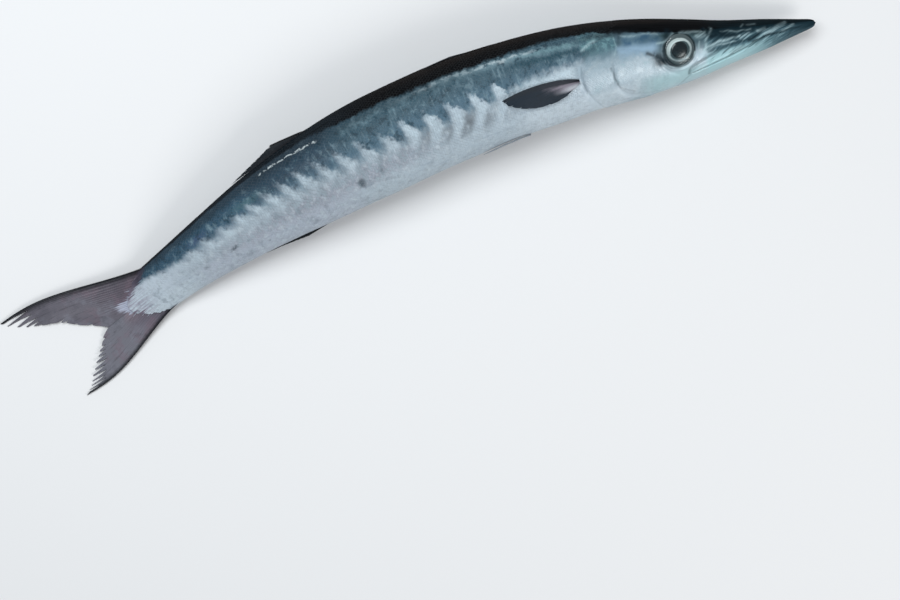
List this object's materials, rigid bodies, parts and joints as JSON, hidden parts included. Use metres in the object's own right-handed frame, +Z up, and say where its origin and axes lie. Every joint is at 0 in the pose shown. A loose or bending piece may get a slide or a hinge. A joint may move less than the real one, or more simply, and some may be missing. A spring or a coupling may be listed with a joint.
{
  "type": "barracuda",
  "caption": "Life-size caught barracuda lying on its left side, curved as on the market slab, with barred teal back and forked tail",
  "frame": {"origin": "on the surface that the fish lies on, under the middle of its bounding box", "axes": "+X towards the snout, along the line from tail to snout; +Y towards the back fins; +Z up, out of the fish's right side"},
  "size_m": [0.7222, 0.1648, 0.0716],
  "materials": {
    "skin": "wet fish skin: near-black back, slate teal upper flank with dark bars, silver flank and pale belly",
    "jaw": "wet, pale mint-silver skin with a dark tip",
    "fin": "dark slate and mauve-brown fin membrane over bony rays, damp",
    "eye": "dark pupil in a pale silver iris under a clear wet cornea"
  },
  "bodies": {
    "root": {"head": "skin", "lower_jaw": "jaw", "eye_right": "eye", "eye_left": "eye", "gill_cover_right": "skin", "gill_cover_left": "skin", "trunk_front": "skin", "trunk_middle": "skin", "trunk_rear": "skin", "tail_stalk": "skin", "tail_fin_upper": "fin", "tail_fin_lower": "fin", "dorsal_fin_first": "fin", "dorsal_fin_second": "fin", "anal_fin": "fin", "pectoral_fin_right": "fin", "pectoral_fin_left": "fin", "pelvic_fin_right": "fin", "pelvic_fin_left": "fin"}
  },
  "joints": []
}
